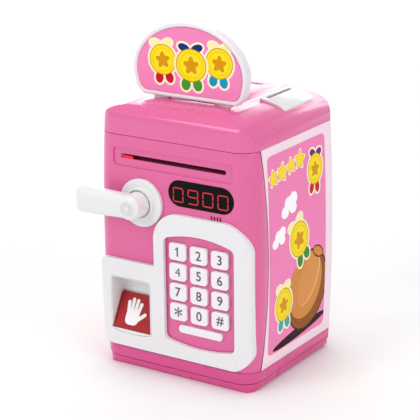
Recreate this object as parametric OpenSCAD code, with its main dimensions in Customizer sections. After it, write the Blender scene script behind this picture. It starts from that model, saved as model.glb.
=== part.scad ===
// Toy safe coin bank: a bowed box with a hinged front door, a code keypad,
// a palm pad, a motor-fed banknote slot and a turning handle.
// Origin at the centre of the resting face, +Z up, front towards -Y.

/* [Body] */
// Width across the bowed sides
body_w = 127.6; // [120:0.2:134]
// Depth from the door's front to the back wall
body_d = 108; // [104:0.5:112]
// Height of the plinth
plinth_h = 14.5; // [14:0.1:15]
// Height of the seam between door and cap
cap_z = 167.3; // [166:0.1:169]
// Height of the cap's crest
crest_z = 191.5; // [189:0.1:194]
// Radius of the bow of the sides
side_bow_r = 1345; // [1200:5:1600]
// Plan radius of the vertical corners
corner_r = 14; // [12:0.5:15]
// Wall thickness
wall = 2.5; // [2:0.1:2.8]
/* [Door] */
// Depth of the door's flank at mid height
flank_d = 17.5; // [17:0.1:18.5]
// Radius of the bow of the door's rear edge
flank_bow_r = 484; // [460:1:520]
// Gap around the door
door_gap = 0.4; // [0.3:0.05:0.6]
// Hinge axis, sideways from the middle
hinge_x = 57.5; // [57:0.1:58]
// Hinge axis, back from the front
hinge_in = 9; // [8.8:0.1:9.4]
// Radius of the hinge pins
hinge_pin_r = 1.25; // [1:0.05:1.4]
/* [Keypad] */
// Pitch of the keys across
key_pitch_x = 16.7; // [16.5:0.1:17]
// Pitch of the keys down
key_pitch_z = 14.28; // [14.2:0.02:14.6]
// Width of a key
key_w = 13.3; // [12.5:0.1:14.6]
// Height of a key
key_h = 12; // [11.5:0.1:13.2]
// Travel of a key
key_travel = 1.2; // [0.8:0.1:1.3]
/* [Handle] */
// Handle axis, sideways from the middle
handle_x = -24; // [-25:0.1:-23]
// Handle axis, height
handle_z = 122.5; // [121:0.1:124]
// Reach of the lever from its axis
lever_reach = 44.5; // [40:0.5:46]
// Radius of the rose behind the lever
rose_r = 16.7; // [15:0.1:17]
/* [Banknote feed] */
// Width of the banknote slot
slot_w = 84; // [80:0.5:86]
// Height of the banknote slot
slot_h = 3.2; // [2.4:0.1:3.6]
// Height of the slot's middle above the table
slot_z = 152.5; // [152:0.1:153]
// Gear module
gear_m = 0.6666667; // [0.6666667]
// Teeth on the roller gear
gear_teeth = 21; // [21]
// Teeth on the motor pinion
pinion_teeth = 12; // [12]

/* [Hidden] */
$fn = 96;
half_w = body_w / 2;
bow_mid_z = 85;
seam_mid_z = 91;
fit = 0.05;
crown_r = 190;
crown_front_r = 200;
crown_back_r = 800;
crown_in = 45;
cap_side_r = 20;
cap_front_r = 12;
cap_rear_r = 12;
rear_r = 4.5;
cap_half_w = half_w - 2.5;
flank_rel = norm([half_w - hinge_x, flank_d - hinge_in]);
post_r = 4;
post_bore_r = 1.5;
post_x = 55;
post_front_in = 40;
post_rear_in = 99;
shank_r = 1.4;
bezel_t = 3;
key_first_x = 4.57;
key_first_z = 92.65;
key_front = -1.6;
plate_in = 0.5;
plate_t = 2;
key_flange = 1.1;
window_x = 22.9;
window_z = 133.4;
window_w = 51.4;
window_h = 18.2;
pad_x = -34;
pad_in = 3.4;
pad_z = 40.3;
pad_tilt = 28.7;
pad_w = 31.6;
pad_h = 25.8;
pad_t = 2.2;
tray_in = 22;
tray_x0 = -54;
tray_x1 = 53.8;
tray_z0 = 19;
tray_z1 = 164.2;
tray_post_x = 49.5;
tray_post_z = [21.5, 160.5];
roller_in = 11.5;
roller_r = 4.6;
roller_gap = 0.6;
roller_len = 74;
shaft_r = 1.5;
gear_r = gear_m * gear_teeth / 2;
pinion_r = gear_m * pinion_teeth / 2;
feed_z = slot_z - roller_gap / 2 - roller_r;
idler_z = slot_z + roller_gap / 2 + roller_r;
motor_z = feed_z - gear_r - pinion_r;
motor_r = 5.4;
spindle_r = 4;
collar_r = 6;
head_in = 21.5;
head_t = 8;
head_half_w = 44.5;
head_top_z = 243;
head_mid_z = 209;
coin_x0 = 33;
coin_x1 = 53;
coin_in0 = 56;
coin_in1 = 97;
coin_slot_x = 36.6;
battery_y0 = 2.6;
battery_y1 = 47.2;
battery_wall = 1.1;
battery_pitch = 14.1;
battery_mid_y = (battery_y0 + battery_y1) / 2;
battery_z = 10.6;
tab_x = -20;
battery_x = 29;
aa_r = 7;
aa_len = 50;
switch_x = -38;
switch_y = -22;
switch_travel = 4.2;
door_pink = [0.91, 0.42, 0.65];
cap_pink = [0.93, 0.5, 0.7];
side_pink = [0.95, 0.84, 0.88];
base_pink = [0.86, 0.33, 0.57];
white = [0.95, 0.95, 0.94];
steel = [0.7, 0.71, 0.73];
board_green = [0.1, 0.4, 0.2];
rubber_wine = [0.36, 0.08, 0.18];

// Y of a point a given distance behind the door's front plane.
function behind(d) = d - body_d / 2;

// ---- shared shapes ----

// Right half of the plan outline, inset from the outer faces.
module half_plan(inset) {
    x1 = half_w - inset;
    y1 = body_d / 2 - inset;
    r = corner_r - inset;
    back_r = max(rear_r - inset, 0.5);
    translate([-8, -y1]) square([x1 + 8 - r, 2 * y1 - back_r]);
    translate([-8, r - y1]) square([x1 + 8, 2 * y1 - r - back_r]);
    translate([-8, r - y1]) square([x1 + 8 - back_r, 2 * y1 - r]);
    translate([x1 - r, r - y1]) circle(r);
    translate([x1 - back_r, y1 - back_r]) circle(back_r);
}

module bowed_half(inset) {
    reach = 5;
    translate([half_w - side_bow_r, 0, bow_mid_z]) rotate([-90, 0, 0])
        rotate_extrude(angle = 2 * reach, start = -reach, $fn = 720)
            translate([side_bow_r - half_w, 0]) half_plan(inset);
}

// The box with bowed sides, inset from its outer faces, between two heights.
module bowed_block(inset, z0, z1) {
    intersection() {
        union() {
            bowed_half(inset);
            mirror([1, 0, 0]) bowed_half(inset);
        }
        translate([-100, -100, z0]) cube([200, 200, z1 - z0]);
    }
}

// All that lies in front of the bowed seam between door and body. Near the hinge the
// seam is turned about the hinge axis, so that the flank passes the body's edge.
module door_side(gap) {
    intersection() {
        translate([0, behind(flank_d) - flank_bow_r, seam_mid_z]) rotate([0, 90, 0])
            cylinder(r = flank_bow_r + gap, h = 300, center = true, $fn = 720);
        translate([-100, -100, -10]) cube([100 + hinge_x, 200, 260]);
    }
    translate([hinge_x, behind(hinge_in), seam_mid_z])
        rotate_extrude() intersection() {
            translate([flank_rel + gap - flank_bow_r, 0]) circle(flank_bow_r + gap, $fn = 720);
            translate([0, -78]) square([40, 156]);
        }
    translate([hinge_x - 1, -100, -10]) cube([60, 100 + behind(hinge_in), 260]);
}

// Rounded rectangle about its centre.
module rounded(w, h, r) {
    square([w - 2 * r, h], center = true);
    square([w, h - 2 * r], center = true);
    for (sx = [-1, 1], sy = [-1, 1]) translate([sx * (w / 2 - r), sy * (h / 2 - r)]) circle(r);
}

// Stands a flat outline up in the X-Z plane and gives it depth from one distance behind
// the front plane to another.
module upright(d0, d1) {
    translate([0, behind(d1), 0]) rotate([90, 0, 0]) linear_extrude(d1 - d0) children();
}

// Box between two X, two distances behind the front plane and two heights.
module block(x0, x1, d0, d1, z0, z1) {
    translate([x0, behind(d0), z0]) cube([x1 - x0, d1 - d0, z1 - z0]);
}

// Round bar along X.
module bar_x(r, x0, x1, d, z) {
    translate([x0, behind(d), z]) rotate([0, 90, 0]) cylinder(r = r, h = x1 - x0);
}

// Round bar along Y, from one distance behind the front plane to another.
module bar_y(r, d0, d1, x, z) {
    translate([x, behind(d0), z]) rotate([-90, 0, 0]) cylinder(r = r, h = d1 - d0);
}

// Outline of a crowned top with round shoulders: half width, shoulder radius on each
// side, crown radius, crest height and inset.
module crown_side(w, shoulder, crown, top, inset) {
    proud = 0.03;
    r = shoulder - inset;
    x1 = w - inset + proud;
    big = crown - inset;
    cx = x1 - r;
    cz = top - crown + sqrt(pow(big - r, 2) - cx * cx);
    tx = cx * big / (big - r);
    intersection() {
        translate([0, top - crown]) circle(big, $fn = 720);
        translate([-8, 100]) square([tx + 8, 100]);
    }
    translate([cx, cz]) circle(r);
    translate([-8, 100]) square([x1 + 8 + proud, cz - 100 + 0.5]);
}

// The domed cap's outer form, inset from its faces, from its lower rim up.
module cap_form(inset) {
    intersection() {
        bowed_block(inset, cap_z - 1, 200);
        translate([0, 100, 0]) rotate([90, 0, 0]) linear_extrude(200) {
            crown_side(cap_half_w, cap_side_r, crown_r, crest_z, inset);
            mirror([1, 0]) crown_side(cap_half_w, cap_side_r, crown_r, crest_z, inset);
        }
        translate([-100, behind(crown_in), 0]) rotate([90, 0, 90]) linear_extrude(200) {
            crown_side(body_d - crown_in, cap_rear_r, crown_back_r, crest_z, inset);
            mirror([1, 0]) crown_side(crown_in, cap_front_r, crown_front_r, crest_z, inset);
        }
    }
}

// Involute-like gear outline with straight flanks and ample backlash.
module gear_outline(teeth, turn) {
    pitch_r = gear_m * teeth / 2;
    step = 360 / teeth;
    root_r = pitch_r - 1.1 * gear_m;
    tip_r = pitch_r + 0.75 * gear_m;
    polygon([for (i = [0 : teeth - 1], p = [[root_r, -0.33], [root_r, -0.29], [pitch_r, -0.19],
        [tip_r, -0.09], [tip_r, 0.09], [pitch_r, 0.19], [root_r, 0.29], [root_r, 0.33]])
        let (a = turn + (i + p[1]) * step) p[0] * [cos(a), sin(a)]]);
}

// ---- body ----

module post(x, d) {
    difference() {
        translate([x, behind(d), plinth_h + 0.1]) cylinder(r = post_r, h = cap_z - plinth_h - 0.3);
        translate([x, behind(d), plinth_h - 1]) cylinder(r = post_bore_r, h = 14);
        translate([x, behind(d), cap_z - 10]) cylinder(r = 2 + fit, h = 11);
    }
}

module body_shell() color(side_pink) {
    difference() {
        union() {
            difference() {
                bowed_block(0, plinth_h + 0.1, cap_z - 0.1);
                bowed_block(wall, plinth_h - 1, cap_z + 1);
            }
            // strike for the latch tongue on the left wall
            intersection() {
                block(-65, -56.5, 18.6, 22.2, 112, 133);
                bowed_block(1, 100, 150);
            }
            intersection() {
                for (s = [-1, 1], d = [post_front_in, post_rear_in]) post(s * post_x, d);
                bowed_block(1, plinth_h, cap_z);
            }
        }
        door_side(door_gap);
    }
}

module base_foot() {
    foot_h = 6;
    slope = 5.5;
    slope_y = 3.4;
    intersection() {
        bowed_block(0.8, 0, foot_h);
        translate([0, 100, 0]) rotate([90, 0, 0]) linear_extrude(200)
            polygon([[slope - half_w, 0], [half_w - slope, 0], [half_w, foot_h], [-half_w, foot_h]]);
        translate([-100, 0, 0]) rotate([90, 0, 90]) linear_extrude(200)
            polygon([[slope_y - body_d / 2, 0], [body_d / 2 - slope_y, 0], [body_d / 2, foot_h],
                [-body_d / 2, foot_h]]);
    }
}

module base_plinth() color(base_pink) {
    difference() {
        union() {
            bowed_block(0, 7, plinth_h);
            bowed_block(1.6, 5.9, 7.1);
            base_foot();
        }
        difference() {
            bowed_block(9.5, 2.5, 12);
            for (s = [-1, 1], d = [post_front_in, post_rear_in - 2])
                translate([s * post_x, behind(d), 0]) cylinder(r = 5.5, h = 14);
            translate([hinge_x, behind(hinge_in), 0]) cylinder(r = 4, h = 14);
            block(-battery_x - 3, battery_x + 3, battery_y0 + 48, battery_y1 + 60, 0, 14);
        }
        // battery well and its cover's rebate
        translate([-battery_x, battery_y0, 3]) cube([2 * battery_x, battery_y1 - battery_y0, 20]);
        translate([1 - battery_x, battery_y0 + 1, 2])
            cube([2 * battery_x - 2, battery_y1 - battery_y0 - 2, 20]);
        translate([-battery_x - 2, battery_y0 - 1, -1])
            cube([2 * battery_x + 4, battery_y1 - battery_y0 + 2, 3.2]);
        translate([tab_x, battery_y0 - 3, -1]) cylinder(r = 3.2, h = 3.2);
        translate([tab_x, battery_y0 - 3, 1]) cylinder(r = 1.1, h = 8);
        // screws into the posts
        for (s = [-1, 1], d = [post_front_in, post_rear_in]) translate([s * post_x, behind(d), -1]) {
            cylinder(r = shank_r + fit, h = 20);
            cylinder(r = 2.9, h = 5);
        }
        // lower hinge pin
        translate([hinge_x, behind(hinge_in), 6]) cylinder(r = hinge_pin_r + 0.01, h = 10);
        // power switch
        translate([switch_x - 4.5, switch_y - 2, -1]) cube([9, 4, 6]);
    }
}

module top_cap() color(cap_pink) {
    difference() {
        union() {
            difference() {
                cap_form(0);
                cap_form(wall);
            }
            intersection() {
                cap_form(0.5);
                union() {
                    translate([hinge_x, behind(hinge_in), cap_z]) cylinder(r = 3.4, h = 9);
                    for (s = [-1, 1], d = [post_front_in, post_rear_in])
                        translate([s * post_x, behind(d), cap_z]) cylinder(r = 3.6, h = 14);
                }
            }
            for (s = [-1, 1], d = [post_front_in, post_rear_in])
                translate([s * post_x, behind(d), cap_z - 9]) cylinder(r = 2, h = 12);
        }
        difference() {
            translate([-100, -100, cap_z - 2]) cube([200, 200, 2]);
            for (s = [-1, 1], d = [post_front_in, post_rear_in])
                translate([s * post_x, behind(d), cap_z - 9]) cylinder(r = 2, h = 12);
        }
        translate([hinge_x, behind(hinge_in), cap_z - 1]) cylinder(r = hinge_pin_r + 0.01, h = 8);
        // coin slot under the coin plate and the slot for cards behind the headboard
        block(coin_slot_x - 1.6, coin_slot_x + 1.6, 60.5, 92.5, 180, 200);
        block(-17, 17, 87, 90, 180, 200);
        // headboard tongues
        for (s = [-1, 1]) block(s * 24 - 6.1, s * 24 + 6.1, head_in + 2.4, head_in + 5.6, 180, 200);
        // round dimples over the front corners
        for (s = [-1, 1]) translate([s * 50.5, behind(8.5), 178]) rotate([30, s * 35, 0])
            cylinder(r = 2.2, h = 4.6);
    }
}

module coin_plate() color(white) {
    difference() {
        intersection() {
            difference() {
                cap_form(-1.2);
                cap_form(-0.02);
            }
            translate([(coin_x0 + coin_x1) / 2, behind((coin_in0 + coin_in1) / 2), 150])
                linear_extrude(60) rounded(coin_x1 - coin_x0, coin_in1 - coin_in0, 3);
        }
        block(coin_slot_x - 1.3, coin_slot_x + 1.3, 61, 92, 180, 200);
    }
}

module coin_chute() color(white) {
    difference() {
        block(coin_slot_x - 4.5, coin_slot_x + 4.5, 58, 95, 150, 184);
        block(coin_slot_x - 2.5, coin_slot_x + 2.5, 60, 93, 140, 190);
    }
}

module head_outline(inset) {
    hull() {
        intersection() {
            translate([0, head_mid_z]) scale([head_half_w - inset, head_top_z - head_mid_z - inset])
                circle(1);
            translate([-60, head_mid_z - 3]) square([120, 60]);
        }
        for (s = [-1, 1]) translate([s * (head_half_w - 11.5), 201.5]) circle(10 - inset);
        translate([inset + 8 - head_half_w, 191.5 + inset]) square([2 * (head_half_w - inset - 8), 1]);
    }
}

module headboard_frame() color(white) {
    difference() {
        upright(head_in, head_in + head_t) difference() {
            head_outline(0);
            head_outline(3);
        }
        cap_form(-0.05);
    }
    upright(head_in + 2.4, head_in + 5.6) head_outline(2.8);
    for (s = [-1, 1]) block(s * 24 - 6, s * 24 + 6, head_in + 2.5, head_in + 5.5, 185, 197);
}

module headboard_front() color(cap_pink) upright(head_in + 0.4, head_in + 2.3) head_outline(3.1);

module headboard_back() color(cap_pink) upright(head_in + 5.7, head_in + head_t - 0.4) head_outline(3.1);

module sticker_form() {
    intersection() {
        difference() {
            bowed_half(-0.35);
            bowed_half(-0.02);
        }
        translate([40, behind(57), 91.5]) rotate([90, 0, 90]) linear_extrude(40) rounded(75, 139, 4);
    }
}

module sticker_right() color([0.96, 0.6, 0.76]) sticker_form();

module sticker_left() color([0.96, 0.6, 0.76]) mirror([1, 0, 0]) sticker_form();

module battery_box() color(white) {
    difference() {
        translate([fit - battery_x, battery_y0 + fit, 3 + fit])
            cube([2 * (battery_x - fit), battery_y1 - battery_y0 - 2 * fit, 17]);
        translate([battery_wall - battery_x, battery_y0 + battery_wall, 2])
            cube([2 * (battery_x - battery_wall), battery_y1 - battery_y0 - 2 * battery_wall, 16.6]);
    }
}

module battery_cover() color(base_pink) {
    difference() {
        union() {
            translate([-battery_x - 1.7, battery_y0 - 0.7, 0.2])
                cube([2 * battery_x + 3.4, battery_y1 - battery_y0 + 1.4, 1.8]);
            translate([tab_x, battery_y0 - 3, 0.2]) cylinder(r = 3, h = 1.8);
        }
        translate([tab_x, battery_y0 - 3, -1]) cylinder(r = 1.2, h = 4);
        // finger grooves
        for (i = [-2 : 2]) translate([-12, 30 + 3 * i, -0.3]) cube([24, 1.2, 1]);
    }
}

module batteries() color([0.2, 0.3, 0.35]) {
    for (i = [-1, 0, 1]) {
        turn = i == 0 ? 180 : 0;
        translate([0, battery_mid_y + i * battery_pitch, battery_z]) rotate([0, 0, turn]) {
            translate([-aa_len / 2, 0, 0]) rotate([0, 90, 0]) cylinder(r = aa_r, h = aa_len - 1.2);
            translate([aa_len / 2 - 1.2, 0, 0]) rotate([0, 90, 0]) cylinder(r = 2.6, h = 1.2);
        }
    }
}

module battery_contacts() color(steel) {
    for (s = [-1, 1], i = [-1, 0, 1])
        translate([s * 27 - 0.25, battery_mid_y + i * battery_pitch - 5, 5]) cube([0.5, 10, 11]);
    for (i = [-1, 0, 1]) {
        s = i == 0 ? 1 : -1;
        for (k = [0 : 1]) translate([s * (26.6 - 0.8 * k), battery_mid_y + i * battery_pitch, battery_z])
            rotate([0, 90, 0]) rotate_extrude() translate([3.6 - k, 0]) circle(0.3, $fn = 16);
    }
}

module screw(head_radius, head_depth, shank, length) {
    difference() {
        union() {
            cylinder(r = head_radius, h = head_depth);
            cylinder(r = shank, h = length);
        }
        for (a = [0, 90]) rotate([0, 0, a]) translate([-1.5, -0.3, -1]) cube([3, 0.6, 1.9]);
    }
}

module cover_screw() color(steel) translate([tab_x, battery_y0 - 3, 0.4]) {
    difference() {
        cylinder(r = 1.05, h = 8);
        for (a = [0, 90]) rotate([0, 0, a]) translate([-0.8, -0.2, -1]) cube([1.6, 0.4, 1.6]);
    }
}

module base_screws() color(steel) {
    for (s = [-1, 1], d = [post_front_in, post_rear_in])
        translate([s * post_x, behind(d), 1.6]) screw(2.7, 2.3, shank_r, 22);
}

module switch_body() color([0.15, 0.15, 0.16]) difference() {
    translate([switch_x - 7, switch_y - 3.5, 2.6]) cube([14, 7, 6]);
    translate([switch_x - 4.6, switch_y - 2.1, 2]) cube([9.2, 4.2, 4]);
}

module switch_knob() color(white) {
    translate([switch_x - 4.3, switch_y - 1.8, 0.5]) cube([8.6 - switch_travel, 3.6, 5.2]);
}

module hinge_pins() color(steel) {
    translate([hinge_x, behind(hinge_in), 6.5]) cylinder(r = hinge_pin_r, h = 16);
    translate([hinge_x, behind(hinge_in), cap_z - 8]) cylinder(r = hinge_pin_r, h = 14);
}

// ---- door ----

module door_blank(inset, z_in) {
    bowed_block(inset, plinth_h + door_gap + z_in, cap_z - door_gap - z_in);
}

module door_shell() color(door_pink) {
    difference() {
        union() {
            difference() {
                door_blank(0, 0);
                door_blank(wall, wall);
            }
            // hinge bosses and screw posts for the tray
            intersection() {
                door_blank(0.5, 0);
                union() {
                    for (z = [plinth_h + door_gap, cap_z - door_gap - 10])
                        translate([hinge_x, behind(hinge_in), z]) cylinder(r = 3, h = 10);
                    for (x = [-tray_post_x, tray_post_x], z = tray_post_z) bar_y(2.6, 1, 6.9, x, z);
                }
            }
        }
        difference() {
            translate([-100, -100, 0]) cube([200, 220, 200]);
            door_side(0);
        }
        // hinge pin bores
        translate([hinge_x, behind(hinge_in), plinth_h - 1]) cylinder(r = hinge_pin_r + fit, h = 10);
        translate([hinge_x, behind(hinge_in), cap_z - 9]) cylinder(r = hinge_pin_r + fit, h = 10);
        for (x = [-tray_post_x, tray_post_x], z = tray_post_z) bar_y(1.0, 1.5, 8, x, z);
        // sunk panel round the banknote slot, and the slot
        upright(-1, 1.1) translate([0, 152]) rounded(95, 13, 3);
        upright(-1, 4) translate([0, slot_z]) rounded(slot_w, slot_h, 1.2);
        // display window, speaker slots, keypad, palm pocket and spindle
        upright(-1, 4) translate([window_x, window_z]) rounded(window_w, window_h, window_h / 2 - 0.1);
        for (i = [0 : 3]) upright(-1, 4) translate([31.1 + 2.3 * i, 119.8]) rounded(1.3, 4.2, 0.6);
        block(-8, 52, -1, 4, 24.5, 108);
        block(-53, -15, -1, 4, 23.5, 70);
        bar_y(spindle_r + 0.6, -1, 4, handle_x, handle_z);
    }
}

module door_tray() color(white) {
    difference() {
        union() {
            difference() {
                block(tray_x0, tray_x1, 7, tray_in, tray_z0, tray_z1);
                block(tray_x0 + 1.6, tray_x1 - 1.6, 6, tray_in - 2, tray_z0 + 1.6, tray_z1 - 1.6);
            }
            for (x = [-tray_post_x, tray_post_x], z = tray_post_z) bar_y(2.6, 7, tray_in - 1, x, z);
        }
        for (x = [-tray_post_x, tray_post_x], z = tray_post_z) bar_y(1.2, 6, 30, x, z);
        block(-slot_w / 2, slot_w / 2, 10, 30, slot_z - 1.6, slot_z + 1.6);
        bar_y(spindle_r + 0.5, 10, 30, handle_x, handle_z);
        // clear of the hinge bosses
        for (z = [0, cap_z - door_gap - 11])
            translate([hinge_x, behind(hinge_in), z]) cylinder(r = 3.5, h = 27);
    }
}

module door_screws() color(steel) {
    for (x = [-tray_post_x, tray_post_x], z = tray_post_z) {
        bar_y(0.95, 2, tray_in + 0.1, x, z);
        bar_y(2.2, tray_in + 0.02, tray_in + 1.4, x, z);
    }
}

// Outline of the white trim: a tall part round the keypad and a low part round the palm.
module bezel_outline() {
    union() {
        hull() {
            translate([6, 99]) circle(20);
            translate([41, 99]) circle(20);
            translate([47, 30.5]) circle(14);
            translate([-6, 24]) circle(7.5);
        }
        hull() {
            translate([-53, 71.5]) circle(8);
            translate([-54.5, 23]) circle(6.5);
            translate([0, 72]) square([7.5, 7.5]);
            translate([0, 16.5]) square([7.5, 7.5]);
        }
    }
}

module keypad_outline() {
    offset(4.5) offset(-4.5) intersection() {
        translate([22 - 28, 20]) square([56, 100]);
        translate([22, 105.9 - 85]) circle(85);
        translate([22, 26 + 110]) circle(110);
    }
}

module palm_outline(inset) {
    hull() {
        for (x = [-47.5, -20]) translate([x, 64]) circle(3 - inset);
        translate([-48.5, 29.5]) circle(2 - inset);
        translate([-19, 29.5]) circle(2 - inset);
        translate([-34, 27.5]) scale([9, 1]) circle(1.5 - inset);
    }
}

module bezel() color(white) {
    difference() {
        intersection() {
            difference() {
                bowed_block(-bezel_t, plinth_h + 1, 130);
                bowed_block(-0.02, plinth_h, 140);
            }
            upright(-5, 8) bezel_outline();
        }
        upright(-8, 10) keypad_outline();
        upright(-8, 10) palm_outline(0);
    }
}

module keypad_plate() color(door_pink) {
    difference() {
        block(-7.8, 51.8, plate_in, plate_in + plate_t, 24.7, 107.8);
        for (i = [0 : 2], j = [0 : 3]) upright(-2, 6)
            translate([key_first_x + i * key_pitch_x, key_first_z - j * key_pitch_z])
                rounded(key_w + 0.5, key_h + 0.5, 2.7);
        upright(-2, 6) translate([22, 38]) rounded(35, 5.9, 2.4);
    }
}

// A key cap with its retaining flange behind the plate.
module key(column, row) color(white) {
    translate([key_first_x + column * key_pitch_x, 0, key_first_z - row * key_pitch_z]) {
        upright(key_front, plate_in + plate_t + 0.3) rounded(key_w, key_h, 2.5);
        upright(plate_in + plate_t + 0.2, plate_in + plate_t + key_flange) rounded(key_w + 1.3, key_h, 1.5);
    }
}

module key_bar() color(white) {
    translate([22, 0, 38]) {
        upright(key_front + 0.3, plate_in + plate_t + 0.3) rounded(34.5, 5.4, 2.2);
        upright(plate_in + plate_t + 0.2, plate_in + plate_t + key_flange) rounded(36.6, 5.4, 1.5);
    }
}

module key_mat() color(rubber_wine) {
    mat_in = plate_in + plate_t + key_flange + key_travel + 0.3;
    block(-5, 49, mat_in, mat_in + 1, 30, 104);
}

module keypad_board() color(board_green) {
    block(-7, 51, 6.2, 7.8, 26, 105);
    block(5, 25, 7.8, 9.6, 60, 80);
}

module display_window() color([0.08, 0.05, 0.06]) {
    upright(-0.5, 2.2) translate([window_x, window_z])
        rounded(window_w - 0.2, window_h - 0.2, window_h / 2 - 0.2);
}

module display_board() color(board_green) {
    block(-1.5, 47, 2.7, 6.3, 125, 142);
    block(-4, 50, 6.3, 7.9, 122.5, 142.4);
}

module speaker() color([0.2, 0.2, 0.2]) {
    bar_y(10, 10.5, 13, 34.9, 114);
    bar_y(5, 13, 16.5, 34.9, 114);
}

// Turns to the slanted palm pad's own frame: X across, Z up the slope, Y inwards.
module on_slope() translate([pad_x, behind(pad_in), pad_z]) rotate([-pad_tilt, 0, 0]) children();

module palm_pocket() color(white) {
    difference() {
        union() {
            block(-52.2, -15.8, 0.1, 15, 24, 69.5);
            upright(-2.9, 0.2) palm_outline(0.25);
        }
        // room in front of the slope
        intersection() {
            block(-50, -18, -20, 12, 26, 67);
            on_slope() translate([-40, -60, -20]) cube([80, 60, 90]);
            upright(-20, 30) palm_outline(0.9);
        }
        block(-50, -18, 6, 11.5, 50, 66);
        on_slope() translate([-pad_w / 2 - 0.3, -1, -pad_h / 2 - 0.3]) cube([pad_w + 0.6, 6.4, pad_h + 0.6]);
        // open back of the wedge
        block(-50.5, -17.5, 14, 16, 26, 67);
        on_slope() translate([-4.2, 3, -4.2]) cube([8.4, 30, 8.4]);
    }
}

module palm_pad() color([0.78, 0.16, 0.14]) {
    on_slope() rotate([90, 0, 0]) translate([0, 0, -pad_t]) linear_extrude(pad_t) rounded(pad_w, pad_h, 1.5);
}

module palm_spring() color(steel) {
    on_slope() for (k = [0 : 3]) translate([0, 3.8 + 0.9 * k, 0]) rotate([90, 0, 0])
        rotate_extrude() translate([3, 0]) circle(0.35, $fn = 16);
}

// ---- handle and lock ----

module handle_rose() color(white) {
    translate([handle_x, behind(0) - 0.02, handle_z]) rotate([90, 0, 0]) difference() {
        rotate_extrude() {
            square([rose_r - 1, 3]);
            square([rose_r, 2]);
            translate([rose_r - 1, 2]) circle(1);
            square([11, 5.2]);
        }
        translate([0, 0, -1]) cylinder(r = spindle_r + fit, h = 10);
        translate([0, 0, 3.6]) difference() {
            cylinder(r = 9.6, h = 5);
            translate([0, 0, -1]) cylinder(r = 6, h = 1.6);
        }
    }
}

module handle_lever() color(white) {
    translate([handle_x, behind(-4.4), handle_z]) rotate([90, 0, 0]) difference() {
        rotate_extrude() {
            square([8.6, 8]);
            polygon([[0, 8], [8.6, 8], [6.6, 12.4], [0, 12.4]]);
        }
        translate([0, 0, -1]) cylinder(r = spindle_r + 0.02, h = 10);
    }
    // the bar, cut to fit round the hub
    difference() {
        upright(-18.2, -6.6) translate([handle_x, handle_z]) {
            polygon([[0, -8.3], [0, 8.3], [5.6 - lever_reach, 10.6], [-lever_reach, 5], [-lever_reach, -3.4],
                [5.6 - lever_reach, -9]]);
            translate([5.6 - lever_reach, 5]) circle(5.6);
            translate([5.6 - lever_reach, -3.4]) circle(5.6);
        }
        translate([handle_x, behind(-4), handle_z]) rotate([90, 0, 0]) cylinder(r = 8.3, h = 20);
    }
}

module handle_cap() color(white) {
    translate([handle_x, behind(-16.85), handle_z]) rotate([90, 0, 0]) {
        cylinder(r = 5.2, h = 0.8);
        cylinder(r = 4.3, h = 1.5);
        cylinder(r = 2.7, h = 2.1);
    }
}

module handle_spindle() color(steel) {
    bar_y(spindle_r, -12.4, 22.4, handle_x, handle_z);
    bar_y(collar_r, 9, 13, handle_x, handle_z);
    bar_y(2, 22.3, 28, handle_x, handle_z);
}

module latch_tongue() color(steel) {
    difference() {
        union() {
            bar_y(6.5, 22.5, 25, handle_x, handle_z);
            block(-55, handle_x, 22.5, 25, handle_z - 4.5, handle_z + 4.5);
        }
        bar_y(2.02, 20, 30, handle_x, handle_z);
    }
}

module tongue_nut() color(steel) {
    difference() {
        translate([handle_x, behind(25.05), handle_z]) rotate([-90, 0, 0])
            cylinder(r = 4.2, h = 2.4, $fn = 6);
        bar_y(2.02, 20, 30, handle_x, handle_z);
    }
}

module lock_solenoid() color([0.3, 0.3, 0.32]) {
    difference() {
        block(-13, 7, 8.6, 17, 116.6, 128.4);
        bar_x(1.56, -14, 3, 12, handle_z);
    }
}

module lock_plunger() color(steel) {
    bar_x(1.5, handle_x + collar_r + 0.6, -1, 12, handle_z);
}

// ---- banknote feed ----

module feed_frame() color(white) {
    difference() {
        union() {
            block(-44, -42, 3, 19, 130, 162.4);
            block(42, 44, 3, 19, 143, 162.4);
            block(-43, 43, 17, 19, 155, 162.4);
            block(-43, 43, 17, 19, 143, 150);
        }
        for (z = [feed_z, idler_z]) bar_x(shaft_r + fit, -50, 50, roller_in, z);
        bar_x(2.2, -50, -40, roller_in, motor_z);
    }
}

module feed_motor() color(steel) {
    bar_x(motor_r, -41.9, -20, roller_in, motor_z);
    bar_x(2, -43.4, -41.8, roller_in, motor_z);
}

module motor_pinion() color(white) {
    difference() {
        translate([-47.4, behind(roller_in), motor_z]) rotate([90, 0, 90]) linear_extrude(2.6)
            gear_outline(pinion_teeth, 90);
        bar_x(0.9, -50, -46, roller_in, motor_z);
    }
    bar_x(0.89, -48, -43.5, roller_in, motor_z);
}

module roller_gear() color(white) {
    difference() {
        translate([-47.4, behind(roller_in), feed_z]) rotate([90, 0, 90]) linear_extrude(2.6)
            gear_outline(gear_teeth, -90 + 180 / gear_teeth);
        bar_x(shaft_r + 0.01, -50, -40, roller_in, feed_z);
    }
}

module feed_roller() color(rubber_wine) {
    bar_x(shaft_r, -47.6, 45, roller_in, feed_z);
    bar_x(roller_r, -roller_len / 2, roller_len / 2, roller_in, feed_z);
}

module idler_roller() color(rubber_wine) {
    bar_x(shaft_r, -45, 45, roller_in, idler_z);
    for (x = [-30, -6, 18]) bar_x(roller_r, x, x + 12, roller_in, idler_z);
    bar_x(shaft_r + 1, -36, 36, roller_in, idler_z);
}

module slot_light() color([0.9, 0.1, 0.1]) block(-41.4, -33.5, 2.7, 3.9, 150.4, 152.2);

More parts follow.
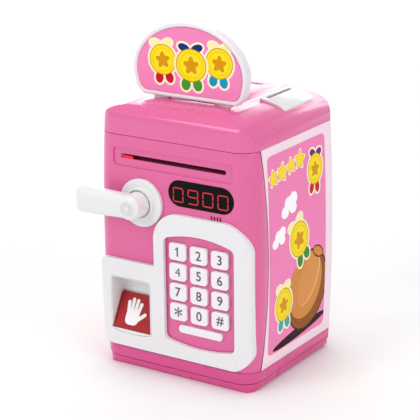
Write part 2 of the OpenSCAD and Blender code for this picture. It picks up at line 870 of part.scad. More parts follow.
body_shell();
base_plinth();
top_cap();
coin_plate();
coin_chute();
headboard_frame();
headboard_front();
headboard_back();
sticker_right();
sticker_left();
battery_box();
battery_cover();
batteries();
battery_contacts();
cover_screw();
base_screws();
switch_body();
switch_knob();
hinge_pins();
door_shell();
door_tray();
door_screws();
bezel();
keypad_plate();
key(0, 0);  // key_1
key(1, 0);  // key_2
key(2, 0);  // key_3
key(0, 1);  // key_4
key(1, 1);  // key_5
key(2, 1);  // key_6
key(0, 2);  // key_7
key(1, 2);  // key_8
key(2, 2);  // key_9
key(0, 3);  // key_star
key(1, 3);  // key_0
key(2, 3);  // key_hash
key_bar();
key_mat();
keypad_board();
display_window();
display_board();
speaker();
palm_pocket();
palm_pad();
palm_spring();
handle_rose();
handle_lever();
handle_cap();
handle_spindle();
latch_tongue();
tongue_nut();
lock_solenoid();
lock_plunger();
feed_frame();
feed_motor();
motor_pinion();
roller_gear();
feed_roller();
idler_roller();
slot_light();
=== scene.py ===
import math

import bpy
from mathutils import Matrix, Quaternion, Vector


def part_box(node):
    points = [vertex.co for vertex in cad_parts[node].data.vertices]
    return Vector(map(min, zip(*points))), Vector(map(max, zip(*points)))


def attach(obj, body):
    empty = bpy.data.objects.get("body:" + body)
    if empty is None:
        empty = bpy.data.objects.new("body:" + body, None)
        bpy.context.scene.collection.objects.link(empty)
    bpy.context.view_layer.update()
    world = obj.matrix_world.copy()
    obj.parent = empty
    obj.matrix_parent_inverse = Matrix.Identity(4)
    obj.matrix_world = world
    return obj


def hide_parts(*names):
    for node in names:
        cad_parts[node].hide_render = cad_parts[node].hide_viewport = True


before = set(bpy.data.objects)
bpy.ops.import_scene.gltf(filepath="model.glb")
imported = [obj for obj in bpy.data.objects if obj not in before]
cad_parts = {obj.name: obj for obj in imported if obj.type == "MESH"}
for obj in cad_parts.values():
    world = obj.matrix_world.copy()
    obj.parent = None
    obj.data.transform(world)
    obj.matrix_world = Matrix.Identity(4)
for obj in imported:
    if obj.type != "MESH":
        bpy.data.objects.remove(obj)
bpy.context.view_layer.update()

# ---- camera ----
# A long lens a little over a metre away, a third of the way round to the right and a
# little above, as for a catalogue picture.
look_at = Vector((-0.00925, 0.006, 0.103))
azimuth = math.radians(33.17)
elevation = math.radians(17.7)
roll = math.radians(-0.63)
distance = 1.1607
towards_camera = Vector((
    math.cos(elevation) * math.sin(azimuth),
    -math.cos(elevation) * math.cos(azimuth),
    math.sin(elevation),
))
bpy.ops.object.camera_add(location=look_at + towards_camera * distance)
camera = bpy.context.object
camera.rotation_mode = "QUATERNION"
camera.rotation_quaternion = (-towards_camera).to_track_quat("-Z", "Y") @ Quaternion((0, 0, 1), roll)
camera.data.lens = 142.25
camera.data.sensor_width = 36
camera.data.clip_end = 20
bpy.context.scene.camera = camera


# ---- floor and studio light ----
# A white paper floor, and soft light panels: one in front on each side, one overhead
# and a wide one behind, whose reflection whitens the top of the cap.
def linear(red, green, blue):
    """A screen colour of 0 to 255 as the linear colour that the shaders take."""
    return tuple(
        c / 255 / 12.92 if c <= 10 else ((c / 255 + 0.055) / 1.055) ** 2.4 for c in (red, green, blue)
    )


class Shade:
    """A value or colour in a material's node tree. Arithmetic on it adds Math nodes."""

    def __init__(self, tree, socket=None):
        self.tree, self.socket = tree, socket

    def node(self, kind, inputs=None, out=0, stops=None, **settings):
        """Adds a node with its settings and its inputs as values or links; gives one of its outputs."""
        new = self.tree.nodes.new(kind)
        for name, value in settings.items():
            setattr(new, name, value)
        if stops:
            ramp = new.color_ramp.elements
            while len(ramp) < len(stops):
                ramp.new(0.5)
            for element, (place, colour) in zip(ramp, stops):
                element.position, element.color = place, (*colour, 1)
        for name, value in (inputs or {}).items():
            if isinstance(value, Shade):
                self.tree.links.new(value.socket, new.inputs[name])
            else:
                new.inputs[name].default_value = value
        return Shade(self.tree, new.outputs[out])

    def maths(self, operation, *values):
        return self.node("ShaderNodeMath", dict(enumerate(values)), operation=operation)

    def __add__(self, other):
        return self.maths("ADD", self, other)

    def __mul__(self, other):
        return self.maths("MULTIPLY", self, other)

    def __lt__(self, other):
        return self.maths("LESS_THAN", self, other)

    def __gt__(self, other):
        return self.maths("GREATER_THAN", self, other)

    def __or__(self, other):
        return self.maths("MAXIMUM", self, other)

    def __and__(self, other):
        return self.maths("MINIMUM", self, other)

    def __abs__(self):
        return self.maths("ABSOLUTE", self)

    def over(self, mask, colour):
        """This colour, with another laid over it where the mask is 1."""
        return self.node("ShaderNodeMix", {0: mask, 6: self, 7: colour}, out=2, data_type="RGBA")

    def ramp(self, *stops):
        return self.node("ShaderNodeValToRGB", {0: self}, stops=stops)

    def noise(self, scale, detail=2.0, **more):
        """Noise over this position."""
        return self.node("ShaderNodeTexNoise", {"Vector": self, "Scale": scale, "Detail": detail, **more})


def start_material(name, **sockets):
    """A material with constants on its surface's sockets; gives it, its surface and its position."""
    made = bpy.data.materials.new(name)
    made.use_nodes = True
    surface = made.node_tree.nodes["Principled BSDF"]
    for socket, value in sockets.items():
        surface.inputs[socket.replace("_", " ")].default_value = value
    place = Shade(made.node_tree).node("ShaderNodeTexCoord", out="Object")
    return made, surface, place


def wire(surface, **sockets):
    """Links shades to a surface's sockets."""
    for socket, shade in sockets.items():
        shade.tree.links.new(shade.socket, surface.inputs[socket.replace("_", " ")])


bpy.ops.object.select_all(action="DESELECT")
bpy.ops.mesh.primitive_plane_add(size=8)
floor = bpy.context.object
floor.name = "floor"
paper, paper_surface, paper_place = start_material("white_paper", Roughness=0.9, Specular_IOR_Level=0.1)
wire(paper_surface, Base_Color=paper_place.noise(30.0).ramp((0, (0.86,) * 3), (1, (0.9,) * 3)))
floor.data.materials.append(paper)

studio = bpy.data.worlds.new("studio")
studio.use_nodes = True
studio.node_tree.nodes["Background"].inputs["Color"].default_value = (1, 1, 1, 1)
studio.node_tree.nodes["Background"].inputs["Strength"].default_value = 0.62
bpy.context.scene.world = studio
bpy.context.scene.view_settings.view_transform = "Standard"
for name, place, width, height, power in (
    ("left_panel", (-0.6, -1.5, 1.0), 0.8, 0.8, 8),
    ("right_panel", (1.6, -0.5, 0.8), 0.8, 1.0, 6),
    ("top_panel", (0.0, -0.2, 1.8), 1.0, 1.0, 9),
    ("back_panel", (-1.3, 1.9, 0.75), 4.0, 1.3, 36),
):
    bpy.ops.object.light_add(type="AREA", location=place)
    panel = bpy.context.object
    panel.name = name
    panel.data.shape = "RECTANGLE"
    panel.data.size, panel.data.size_y = width, height
    panel.data.energy = power
    panel.rotation_euler = (look_at - panel.location).to_track_quat("-Z", "Y").to_euler()


# ---- plinth ----
# The plinth is one thick moulding in deep glossy pink with a sloping foot. It holds the
# battery box, and four screws through it pull the casing and the cap down onto it.
mm = 0.001


def plastic(name, colour, gloss=0.28, drift=0.05, grain=0.03, coat=0.0):
    """Moulded plastic, whose colour and gloss drift a little with the melt's flow, over a fine grain."""
    made, surface, place = start_material(name, Coat_Weight=coat, Coat_Roughness=0.12, IOR=1.5)
    flow = place.noise(14.0, 1.0)
    lighter = tuple(min(1, c * (1 + drift)) for c in colour)
    darker = tuple(c * (1 - drift) for c in colour)
    wire(
        surface,
        Base_Color=flow.ramp((0.25, darker), (0.75, lighter)),
        Roughness=place.noise(60.0, 6.0) * 0.05 + (gloss - 0.025),
        Normal=place.node("ShaderNodeBump", {
            "Height": place.noise(1400.0, 3.0), "Strength": grain, "Distance": 0.0002,
        }),
    )
    return made


def soften(node, width, steps=2, angle=32):
    """Rounds the sharp edges of a CAD node, as the edges of a mould are rounded."""
    for kind, settings in (
        ("WELD", {"merge_threshold": 0.002 * mm}),
        ("DECIMATE", {"decimate_type": "DISSOLVE", "angle_limit": math.radians(0.05)}),
        ("BEVEL", {
            "width": width, "segments": steps, "limit_method": "ANGLE", "angle_limit": math.radians(angle),
            "harden_normals": True, "miter_outer": "MITER_ARC",
        }),
    ):
        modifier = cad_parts[node].modifiers.new(kind.lower(), kind)
        for name, value in settings.items():
            setattr(modifier, name, value)


def dress(material, *nodes):
    """Gives CAD nodes their finish."""
    for node in nodes:
        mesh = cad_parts[node].data
        mesh.materials.clear()
        mesh.materials.append(material)


base_plastic = plastic("deep_pink_plastic", linear(214, 70, 140), coat=0.3, drift=0.02)
dress(base_plastic, "base_plinth", "battery_cover")
soften("base_plinth", 0.8 * mm)


# ---- battery box, cells, screws and switch ----
# A white box for three AA cells drops into the plinth and is closed by a screwed cover.
# The contacts are nickel-plated strip and wire, the screws zinc-plated steel.
# The slide switch beside them is black, with a white knob.
def metal(name, colour, gloss):
    """Plated steel: a bright skin whose gloss is streaked by rolling and handling."""
    made, surface, place = start_material(name, Metallic=1.0)
    streaks = place.node("ShaderNodeMapping", {"Vector": place, "Scale": (1.0, 1.0, 9.0)}).noise(160.0, 5.0)
    dull = tuple(c * 0.82 for c in colour)
    wire(
        surface,
        Base_Color=place.noise(90.0, 4.0).ramp((0.3, dull), (0.7, colour)),
        Roughness=streaks * 0.3 + gloss,
        Normal=place.node("ShaderNodeBump", {"Height": streaks, "Strength": 0.05, "Distance": 0.0001}),
    )
    return made


white_plastic = plastic("white_plastic", linear(229, 229, 230), drift=0.012)
black_plastic = plastic("black_plastic", linear(32, 32, 36), gloss=0.5, grain=0.2)
steel = metal("plated_steel", (0.66, 0.67, 0.69), 0.18)
dress(white_plastic, "battery_box", "switch_knob")
dress(black_plastic, "switch_body")
dress(steel, "battery_contacts", "cover_screw", "base_screws", "hinge_pins")
for node in ("battery_box", "battery_cover", "switch_body", "switch_knob", "cover_screw", "base_screws"):
    soften(node, 0.2 * mm)

sleeve, sleeve_surface, sleeve_place = start_material("battery_sleeve")
cell_x = abs(sleeve_place.node("ShaderNodeSeparateXYZ", {0: sleeve_place}, out=0))
bare_end = cell_x > 23.2 * mm
stripe = (cell_x < 20.0 * mm) & (cell_x > 14.0 * mm)
printed = sleeve_place.noise(70.0).ramp((0, linear(30, 52, 62)), (1, linear(38, 62, 74)))
wire(
    sleeve_surface,
    Base_Color=printed.over(stripe, (*linear(202, 208, 205), 1)).over(bare_end, (0.6, 0.61, 0.62, 1)),
    Metallic=bare_end,
    Roughness=sleeve_place.noise(200.0, 4.0) * 0.15 + 0.25,
)
dress(sleeve, "batteries")
soften("batteries", 0.4 * mm)


# ---- casing ----
# The casing is one moulding in pale pink: two bowed side walls, the rear wall, four
# screw posts and the strike for the latch. It stands on the plinth.
casing_plastic = plastic("pale_pink_plastic", linear(246, 221, 232), gloss=0.34, drift=0.015)
dress(casing_plastic, "body_shell")
soften("body_shell", 0.4 * mm)


# ---- side stickers ----
# Each side wall carries a printed gloss film: clouds, gold coins with ribbons and a brown
# money sack on pink. The film is stuck on after moulding.
class Print:
    """A flat picture printed on a part, drawn in millimetres across and up."""

    def __init__(self, across, up, paper):
        self.plane = across.node("ShaderNodeCombineXYZ", {0: across, 1: up})
        self.picture = paper

    def local(self, x, z, wide, high, turn=0):
        """The plane seen from a shape's own middle, in shares of its half width and height."""
        return self.plane.node("ShaderNodeMapping", {
            "Vector": self.plane, "Location": (x, z, 0), "Rotation": (0, 0, math.radians(turn)),
            "Scale": (wide, high, 1),
        }, vector_type="TEXTURE")

    def oval(self, x, z, wide, high, turn=0):
        place = self.local(x, z, wide, high, turn)
        return place.node("ShaderNodeVectorMath", {0: place}, out="Value", operation="LENGTH") < 1

    def star(self, x, z, reach, turn=0):
        """A plump star with five rounded points."""
        place = self.local(x, z, reach, reach, turn)
        spread = place.node("ShaderNodeVectorMath", {0: place}, out="Value", operation="LENGTH")
        sideways, upwards = (place.node("ShaderNodeSeparateXYZ", {0: place}, out=i) for i in (0, 1))
        waves = place.maths("COSINE", place.maths("ARCTAN2", sideways, upwards) * 5)
        return spread < waves * 0.2 + 0.8

    def lay(self, mask, *colour):
        self.picture = self.picture.over(mask, (*linear(*colour), 1))

    def cloud(self, x, z, size):
        puffs = [
            self.oval(x + size * dx, z + size * dz, size * r, size * r * 0.86)
            for dx, dz, r in ((-0.55, -0.3, 0.42), (-0.1, 0.15, 0.5), (0.4, 0.35, 0.45), (0.35, -0.2, 0.4))
        ]
        self.lay(puffs[0] | puffs[1] | puffs[2] | puffs[3], 253, 252, 253)

    def coin(self, x, z, wide, high, turn, ribbon, bow):
        """A gold coin with a star on it, a cream border, a ribbon's tails below and a bow on top."""
        lean = math.radians(turn)
        down = Vector((math.sin(lean), -math.cos(lean)))
        side = Vector((math.cos(lean), math.sin(lean)))
        low, top = Vector((x, z)) + down * high * 1.15, Vector((x, z)) - down * high * 1.02
        tails = [low + side * s * wide * 0.38 for s in (-1, 1)]
        knots = [top + side * s * wide * 0.42 for s in (-1, 1)]
        for swell, shades in ((1.5, None), (0, (ribbon, bow))):
            rim = [self.oval(*p, wide * 0.3 + swell, high * 0.38 + swell, turn + s * 14)
                   for p, s in zip(tails, (-1, 1))]
            bows = [self.oval(*p, wide * 0.4 + swell, high * 0.24 + swell, turn + s * 18)
                    for p, s in zip(knots, (-1, 1))]
            if shades:
                self.lay(rim[0] | rim[1], *shades[0])
                self.lay(bows[0] | bows[1], *shades[1])
            else:
                disc = self.oval(x, z, wide + swell, high + swell, turn)
                self.lay(rim[0] | rim[1] | bows[0] | bows[1] | disc, 253, 238, 205)
        self.lay(self.oval(x, z, wide, high, turn), 176, 132, 18)
        self.lay(self.oval(x, z, wide * 0.95, high * 0.95, turn), 248, 218, 22)
        self.lay(self.oval(x, z, wide * 0.76, high * 0.76, turn), 240, 196, 12)
        self.lay(self.oval(x, z, wide * 0.71, high * 0.71, turn), 250, 224, 40)
        self.lay(self.star(x, z - 0.3, min(wide, high) * 0.56, turn), 214, 150, 14)


def film(name, across_axis, offset, draw):
    """Printed gloss film: a picture over pink, with a very slight orange peel."""
    made, surface, place = start_material(name, Specular_IOR_Level=0.06)
    axes = [place.node("ShaderNodeSeparateXYZ", {0: place}, out=i) for i in (across_axis, 2)]
    pink = place.noise(26.0).ramp((0.2, linear(239, 131, 184)), (0.8, linear(242, 137, 188)))
    picture = Print(axes[0] * 1000 + offset, axes[1] * 1000, pink)
    draw(picture)
    wire(
        surface,
        Base_Color=picture.picture,
        Roughness=place.noise(120.0, 4.0) * 0.1 + 0.22,
        Normal=place.node("ShaderNodeBump", {
            "Height": place.noise(500.0), "Strength": 0.03, "Distance": 0.0002,
        }),
    )
    return made


def money_scene(picture):
    """The side picture. Across is the distance behind the door's front, up is the height."""
    picture.cloud(46, 122, 11.5)
    picture.cloud(32, 103, 9.5)
    for i, size in enumerate((5.4, 6.2, 5.4, 6.2)):
        for reach, colour in (
            (size + 1.3, (255, 244, 200)), (size, (226, 176, 30)), (size - 1, (250, 222, 40)),
        ):
            picture.lay(picture.star(26 + 11.5 * i, 145.5 + 1.6 * i, reach, 8 * (-1) ** i), *colour)
    picture.coin(80.5, 139, 9.8, 11, -6, (196, 30, 40), (110, 40, 130))
    picture.lay(picture.oval(61, 27.5, 36, 3.6, 5), 40, 6, 8)
    for x, z, wide, high, lean, colour in (
        (70, 55, 26.2, 29.2, -32, (56, 18, 8)), (70, 55, 25.0, 28.0, -32, (146, 84, 24)),
        (67.5, 59, 21.5, 24.0, -32, (212, 138, 66)), (72, 62, 11.5, 20, -36, (240, 186, 124)),
        (71, 62.3, 11.0, 19.6, -36, (218, 146, 76)), (84, 79, 8, 4.2, -28, (56, 18, 8)),
        (84, 79, 7, 3.2, -28, (212, 138, 66)),
    ):
        picture.lay(picture.oval(x, z, wide, high, lean), *colour)
    picture.coin(58, 95, 12, 13, 22, (60, 140, 60), (253, 238, 170))
    picture.coin(38, 54, 10.6, 12, 4, (60, 170, 180), (253, 238, 170))


side_film = film("side_film", 1, 54, money_scene)
dress(side_film, "sticker_right", "sticker_left")


# ---- cap ----
# The cap is a domed moulding in glossy pink whose four spigots plug into the casing's
# posts. It has a coin slot on the right and a card slot behind the headboard, and a
# white plate is heat-staked round the coin slot over the chute that guides the coins.
cap_plastic = plastic("cap_pink_plastic", linear(224, 98, 156), gloss=0.27, coat=0.4, drift=0.02)
dress(cap_plastic, "top_cap")
soften("top_cap", 0.7 * mm)
dress(white_plastic, "coin_plate", "coin_chute")
soften("coin_plate", 0.5 * mm)
soften("coin_chute", 0.3 * mm)


# ---- headboard ----
# A white frame with a rounded rim stands on the cap on two tongues. A printed face is
# glued into the frame's shallow tray on each side, with gold coins and ribbons on pink.
def coin_row(picture):
    """The headboard's picture. Across is sideways from the middle, up is the height."""
    picture.coin(-20.5, 216.5, 10.6, 10.4, 6, (196, 24, 40), (253, 236, 160))
    picture.coin(24, 218.5, 10.6, 10.4, -3, (20, 150, 190), (253, 236, 160))
    picture.coin(2, 215, 12, 11.2, 2, (70, 150, 50), (16, 50, 120))


headboard_film = film("headboard_film", 0, 0, coin_row)
rim_plastic = plastic("rim_plastic", linear(232, 225, 230), drift=0.01)
dress(rim_plastic, "headboard_frame")
dress(headboard_film, "headboard_front", "headboard_back")
soften("headboard_frame", 1.2 * mm, steps=4, angle=40)


# ---- door ----
# The door is a shell in glossy pink that hangs on two steel pins at its right edge. A
# white tray closes its back with four screws and carries the feed, the lock and boards.
door_plastic = plastic("door_pink_plastic", linear(222, 96, 154), gloss=0.24, coat=0.25, drift=0.02)
dress(door_plastic, "door_shell", "keypad_plate")
dress(white_plastic, "door_tray")
dress(steel, "door_screws")
soften("door_shell", 0.6 * mm)
soften("door_tray", 0.4 * mm)
soften("door_screws", 0.2 * mm)


# ---- banknote feed and lock ----
# A small motor turns a rubber roller through a pinion and gear, and an idler presses the
# note on it. A solenoid's plunger reaches for the handle's spindle. A red lamp lights
# the slot's left end. Frame and gears are white acetal.
rubber = plastic("wine_rubber", linear(112, 18, 50), gloss=0.72, grain=0.35, drift=0.05)
dress(white_plastic, "feed_frame", "motor_pinion", "roller_gear")
dress(rubber, "feed_roller", "idler_roller", "key_mat")
dress(steel, "feed_motor", "lock_plunger")
dress(black_plastic, "lock_solenoid", "speaker")
for node in ("feed_frame", "motor_pinion", "roller_gear", "feed_roller", "idler_roller", "key_mat"):
    soften(node, 0.15 * mm)
for node in ("feed_motor", "lock_plunger", "lock_solenoid", "speaker"):
    soften(node, 0.3 * mm)

lamp, lamp_surface, lamp_place = start_material(
    "red_lamp", Emission_Color=(*linear(225, 24, 50), 1), Emission_Strength=0.7, Roughness=0.3,
)
wire(
    lamp_surface,
    Base_Color=lamp_place.noise(400.0).ramp((0, linear(170, 10, 20)), (1, linear(220, 30, 40))),
)
dress(lamp, "slot_light")


# ---- display ----
# Behind a smoked window with round ends sit four red seven-segment digits, which show
# 0900. The board under it and the keypad's board are green fibreglass.
board, board_surface, board_place = start_material("circuit_board", Coat_Weight=0.4)
tracks = board_place.node("ShaderNodeTexBrick", {
    "Vector": board_place.node("ShaderNodeMapping", {"Vector": board_place, "Rotation": (math.pi / 2, 0, 0)}),
    "Scale": 60.0, "Mortar Size": 0.03, "Mortar": (*linear(92, 158, 92), 1),
    "Color1": (*linear(20, 92, 48), 1), "Color2": (*linear(24, 104, 54), 1),
})
wire(board_surface, Base_Color=tracks, Roughness=board_place.noise(300.0, 4.0) * 0.2 + 0.3)
dress(board, "display_board", "keypad_board")

smoked, smoked_surface, smoked_place = start_material("smoked_window", Specular_IOR_Level=0.08)
wire(
    smoked_surface,
    Base_Color=smoked_place.noise(60.0).ramp((0.2, linear(12, 8, 12)), (0.8, linear(18, 12, 17))),
    Roughness=smoked_place.noise(250.0, 5.0) * 0.1 + 0.1,
)
dress(smoked, "display_window")
soften("display_window", 0.3 * mm)

glow, glow_surface, glow_place = start_material(
    "lit_segment", Emission_Color=(*linear(215, 30, 38), 1), Emission_Strength=0.2, Roughness=0.4,
)
wire(glow_surface, Base_Color=glow_place.noise(700.0).ramp((0, linear(150, 8, 16)), (1, linear(200, 20, 28))))


def block(name, low, high):
    """A new box between two corners, its place in its mesh."""
    low, high = Vector(low), Vector(high)
    bpy.ops.object.select_all(action="DESELECT")
    bpy.ops.mesh.primitive_cube_add(size=1, location=(low + high) / 2, scale=high - low)
    piece = bpy.context.object
    piece.name = piece.data.name = name
    bpy.ops.object.transform_apply()
    return piece


def round_edges(piece, width, steps, chosen):
    """Bevels the edges whose two ends pass a test."""
    bpy.ops.object.mode_set(mode="EDIT")
    bpy.ops.mesh.select_mode(type="EDGE")
    bpy.ops.mesh.select_all(action="DESELECT")
    bpy.ops.object.mode_set(mode="OBJECT")
    for edge in piece.data.edges:
        edge.select = chosen(*(piece.data.vertices[i].co for i in edge.vertices))
    bpy.ops.object.mode_set(mode="EDIT")
    bpy.ops.mesh.bevel(offset=width, segments=steps, affect="EDGES")
    bpy.ops.object.mode_set(mode="OBJECT")


def join(pieces, name):
    """Makes one piece of several, their meshes side by side."""
    bpy.ops.object.select_all(action="DESELECT")
    for piece in pieces:
        piece.select_set(True)
    bpy.context.view_layer.objects.active = pieces[0]
    bpy.ops.object.join()
    pieces[0].name = pieces[0].data.name = name
    return pieces[0]


def through(a, b):
    """Whether an edge runs front to back."""
    return abs(a.x - b.x) < 1e-6 and abs(a.z - b.z) < 1e-6


def turn(piece, angle, axis, about):
    """Turns a piece about a point, with its place kept in its mesh."""
    bpy.ops.object.select_all(action="DESELECT")
    piece.select_set(True)
    bpy.context.view_layer.objects.active = piece
    bpy.ops.object.mode_set(mode="EDIT")
    bpy.ops.mesh.select_all(action="SELECT")
    bpy.ops.transform.rotate(value=angle, orient_axis=axis, center_override=about)
    bpy.ops.object.mode_set(mode="OBJECT")


window_low, window_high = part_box("display_window")
digit_w, digit_h = 7.6 * mm, 9.4 * mm
stroke, lit_proud, joint_gap = 0.9 * mm, 0.1 * mm, 0.15 * mm
digit_pitch = 11.7 * mm
middle_x = (window_low.x + window_high.x) / 2
middle_z = (window_low.z + window_high.z) / 2 - 1.0 * mm
# where each segment lies on a digit, in shares of its half width and half height
segments = {"top": (0, 1), "upper_right": (1, 0.5), "lower_right": (1, -0.5), "bottom": (0, -1),
            "lower_left": (-1, -0.5), "upper_left": (-1, 0.5), "middle": (0, 0)}
for i, dark in enumerate(("middle", "lower_left", "middle", "middle")):
    digit_x = middle_x + (i - 1.5) * digit_pitch
    bars = []
    for part, (sideways, upwards) in segments.items():
        if part == dark:
            continue
        half_x = stroke / 2 if sideways else digit_w / 2 - joint_gap
        half_z = digit_h / 4 - joint_gap if sideways else stroke / 2
        x, z = digit_x + sideways * digit_w / 2, middle_z + upwards * digit_h / 2
        middle, reach = Vector((x, window_low.y, z)), Vector((half_x, lit_proud, half_z))
        bar = block(part, middle - reach, middle + reach)
        round_edges(bar, stroke * 0.48, 1, through)
        bars.append(bar)
    digit = join(bars, f"display_digit_{i + 1}")
    digit.data.materials.append(glow)
    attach(digit, "door")


# ---- bezel and keypad ----
# A white bezel, heat-staked to the door, frames the sunk keypad and the palm recess. The
# twelve keys, each with its printed sign, and the long bar stand through the pink plate.
# They press on the domes of a rubber mat over the keypad's board.
bezel_plastic = plastic("bezel_plastic", linear(230, 229, 231), gloss=0.3, drift=0.01)
key_plastic = plastic("key_plastic", linear(238, 233, 238), gloss=0.36, drift=0.01)
dress(bezel_plastic, "bezel")
soften("bezel", 0.9 * mm, steps=3, angle=40)
soften("keypad_plate", 0.2 * mm)

ink, ink_surface, ink_place = start_material("key_ink")
wire(
    ink_surface,
    Base_Color=ink_place.noise(900.0, 4.0).ramp((0.3, linear(82, 76, 84)), (0.7, linear(100, 94, 102))),
    Roughness=ink_place.noise(900.0) * 0.2 + 0.4,
)
key_signs = {"key_1": "1", "key_2": "2", "key_3": "3", "key_4": "4", "key_5": "5", "key_6": "6",
             "key_7": "7", "key_8": "8", "key_9": "9", "key_star": "*", "key_0": "0", "key_hash": "#"}
sign_size, ink_depth = 9.2 * mm, 0.04 * mm
for key, sign in key_signs.items():
    dress(key_plastic, key)
    soften(key, 0.9 * mm, steps=3)
    low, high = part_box(key)
    bpy.ops.object.select_all(action="DESELECT")
    bpy.ops.object.text_add()
    label = bpy.context.object
    label.data.body = sign
    label.data.size = sign_size * (1.6 if sign == "*" else 1)
    label.data.extrude = ink_depth
    # a bolder 4 would close its own counter
    label.data.offset = 0 if sign == "4" else 0.15 * mm
    label.data.align_x = label.data.align_y = "CENTER"
    bpy.ops.object.convert(target="MESH")
    middle = (Vector(label.bound_box[0]) + Vector(label.bound_box[6])) / 2
    label.rotation_euler = (math.pi / 2, 0, 0)
    label.location = ((low.x + high.x) / 2 - middle.x, low.y, (low.z + high.z) / 2 - middle.y)
    bpy.ops.object.transform_apply()
    label.name = label.data.name = key + "_sign"
    if sign == "1":
        # the font's 1 is a plain bar, so its flag is added
        bar_left = min(vertex.co.x for vertex in label.data.vertices)
        bar_top = max(vertex.co.z for vertex in label.data.vertices)
        corner = Vector((bar_left + 0.7 * mm, low.y, bar_top))
        flag = block(
            "flag", corner - Vector((2.7 * mm, ink_depth * 0.8, 0.9 * mm)),
            corner + Vector((0, ink_depth * 0.8, 0)),
        )
        turn(flag, math.radians(36), "Y", corner)
        label = join([label, flag], key + "_sign")
    label.data.materials.append(ink)
    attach(label, key)
dress(key_plastic, "key_bar")
soften("key_bar", 0.7 * mm, steps=3)


# ---- palm pad ----
# A slanted red pad with a raised white hand sits in a white recess under the bezel and
# sinks on a small coil spring when a palm presses it.
dress(bezel_plastic, "palm_pocket")
soften("palm_pocket", 0.3 * mm)
pad_plastic = plastic("red_pad_plastic", linear(166, 3, 4), gloss=0.62, grain=0.12, drift=0.05)
dress(pad_plastic, "palm_pad")
soften("palm_pad", 0.3 * mm)
dress(steel, "palm_spring")


def combine(piece, other, operation):
    """Adds another solid to a piece, or cuts it away."""
    bpy.ops.object.select_all(action="DESELECT")
    bpy.context.view_layer.objects.active = piece
    modifier = piece.modifiers.new("combine", "BOOLEAN")
    modifier.operation, modifier.object, modifier.solver = operation, other, "EXACT"
    bpy.ops.object.modifier_apply(modifier="combine")
    bpy.data.objects.remove(other)


pad_low, pad_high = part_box("palm_pad")
pad_tilt = math.radians(28.7)
pad_t = 2.2 * mm
pad_middle = (pad_low + pad_high) / 2 - Vector((0, math.cos(pad_tilt), -math.sin(pad_tilt))) * pad_t / 2
relief = 0.3 * mm
hand_middle = pad_middle - Vector((2.0 * mm, 0, 0))


def finger(x, z, width, length, lean):
    """A round-ended bar on an upright face at the pad's middle, leaning from its foot."""
    foot = hand_middle + Vector((x, 0, z))
    bar = block(
        "finger", foot + Vector((-width / 2, -relief, -width / 2)),
        foot + Vector((width / 2, relief, length)),
    )
    round_edges(bar, width * 0.49, 5, through)
    turn(bar, math.radians(lean), "Y", foot)
    return bar


hand = block(
    "palm_hand", hand_middle + Vector((-5.4 * mm, -relief, -9.6 * mm)),
    hand_middle + Vector((5.4 * mm, relief, 1.3 * mm)),
)
round_edges(hand, 3.6 * mm, 6, through)
# four fingers and the thumb: place across and up, length, lean
for x, z, length, lean in (
    (-4.2, 0, 7.4, 9), (-1.5, 0, 9.6, 3), (1.3, 0, 9.2, -3), (4.0, -0.4, 7.4, -10), (3.8, -6.2, 9.2, -48),
):
    combine(hand, finger(x * mm, z * mm, 2.6 * mm, length * mm, lean), "UNION")
turn(hand, pad_tilt, "X", pad_middle)
hand_paint = plastic("hand_paint", linear(246, 240, 243), gloss=0.4, drift=0.01)
hand.data.materials.clear()
hand.data.materials.append(hand_paint)
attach(hand, "palm")


# ---- handle ----
# A thick white lever with a round hub turns over a stepped rose. Its steel spindle runs
# through the door to the latch tongue, which a nut holds. A small cap with two sunk rings
# hides the screw in the hub.
dress(white_plastic, "handle_rose")
dress(steel, "handle_spindle", "latch_tongue", "tongue_nut")
soften("handle_rose", 0.5 * mm, steps=3)
for node in ("handle_spindle", "latch_tongue", "tongue_nut"):
    soften(node, 0.3 * mm)

lever_low, lever_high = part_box("handle_lever")
axis_low, axis_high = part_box("handle_cap")
axis = (axis_low + axis_high) / 2
hub_r, bar_half, bar_overlap = 8.6 * mm, 8.4 * mm, 1 * mm
hub_front, bar_back = lever_low.y + 0.06 * mm, lever_low.y + 11.6 * mm
flare, flare_middle = 1.14, 0.8 * mm
lever = block(
    "lever", (lever_low.x, lever_low.y, axis.z - bar_half),
    (axis.x + bar_overlap, bar_back, axis.z + bar_half),
)
bpy.ops.object.mode_set(mode="EDIT")
bpy.ops.mesh.select_mode(type="VERT")
bpy.ops.mesh.select_all(action="DESELECT")
bpy.ops.object.mode_set(mode="OBJECT")
for vertex in lever.data.vertices:
    vertex.select = vertex.co.x < axis.x - 20 * mm
bpy.ops.object.mode_set(mode="EDIT")
bpy.ops.transform.resize(
    value=(1, 1, flare), center_override=(lever_low.x, bar_back, axis.z + flare_middle),
)
bpy.ops.object.mode_set(mode="OBJECT")
round_edges(lever, 5.3 * mm, 12, lambda a, b: min(a.x, b.x) < axis.x)
bpy.ops.object.select_all(action="DESELECT")
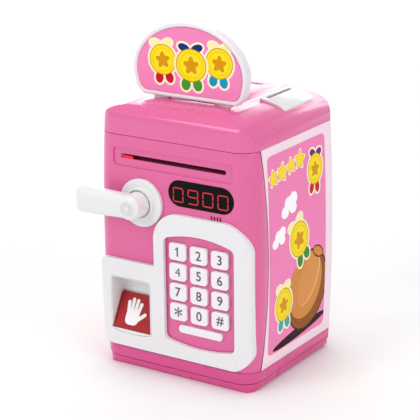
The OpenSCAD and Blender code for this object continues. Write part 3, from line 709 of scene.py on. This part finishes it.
bpy.ops.mesh.primitive_cylinder_add(
    vertices=96, radius=hub_r, depth=lever_high.y - hub_front,
    location=(axis.x, (lever_high.y + hub_front) / 2, axis.z), rotation=(math.pi / 2, 0, 0),
)
bpy.ops.object.transform_apply()
hub = bpy.context.object
round_edges(hub, 3.3 * mm, 7, lambda a, b: max(a.y, b.y) < hub_front + 0.1 * mm)
combine(lever, hub, "UNION")
spindle_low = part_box("handle_spindle")[0]
bore_r, bore_depth = 4.1 * mm, 20 * mm
bpy.ops.mesh.primitive_cylinder_add(
    vertices=64, radius=bore_r, depth=bore_depth,
    location=(axis.x, spindle_low.y + bore_depth / 2, axis.z), rotation=(math.pi / 2, 0, 0),
)
bpy.ops.object.transform_apply()
combine(lever, bpy.context.object, "DIFFERENCE")
bpy.ops.object.select_all(action="DESELECT")
lever.select_set(True)
bpy.context.view_layer.objects.active = lever
bpy.ops.object.shade_smooth_by_angle(angle=math.radians(30))
lever.data.materials.clear()
lever.data.materials.append(white_plastic)
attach(lever, "handle")
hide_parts("handle_lever")

# the screw's cap, a disc with two sunk rings in its face
bpy.ops.object.select_all(action="DESELECT")
bpy.ops.mesh.primitive_cylinder_add(
    vertices=96, radius=(axis_high.x - axis_low.x) / 2, depth=axis_high.y - axis_low.y,
    location=axis, rotation=(math.pi / 2, 0, 0),
)
bpy.ops.object.transform_apply()
screw_cap = bpy.context.object
groove_wall = 0.35 * mm
screw_cap.name = screw_cap.data.name = "ringed_cap"
bpy.ops.object.mode_set(mode="EDIT")
bpy.ops.mesh.select_mode(type="FACE")
bpy.ops.mesh.select_all(action="DESELECT")
bpy.ops.object.mode_set(mode="OBJECT")
for face in screw_cap.data.polygons:
    face.select = face.normal.y < -0.9
bpy.ops.object.mode_set(mode="EDIT")
for land, drop in ((0.6, -1.0), (0.5, 1.0), (0.5, -1.0), (0.4, 1.0)):
    bpy.ops.mesh.inset(thickness=land * mm)
    bpy.ops.mesh.inset(thickness=groove_wall, depth=drop * mm)
bpy.ops.object.mode_set(mode="OBJECT")
screw_cap.data.materials.append(white_plastic)
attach(screw_cap, "handle")
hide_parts("handle_cap")
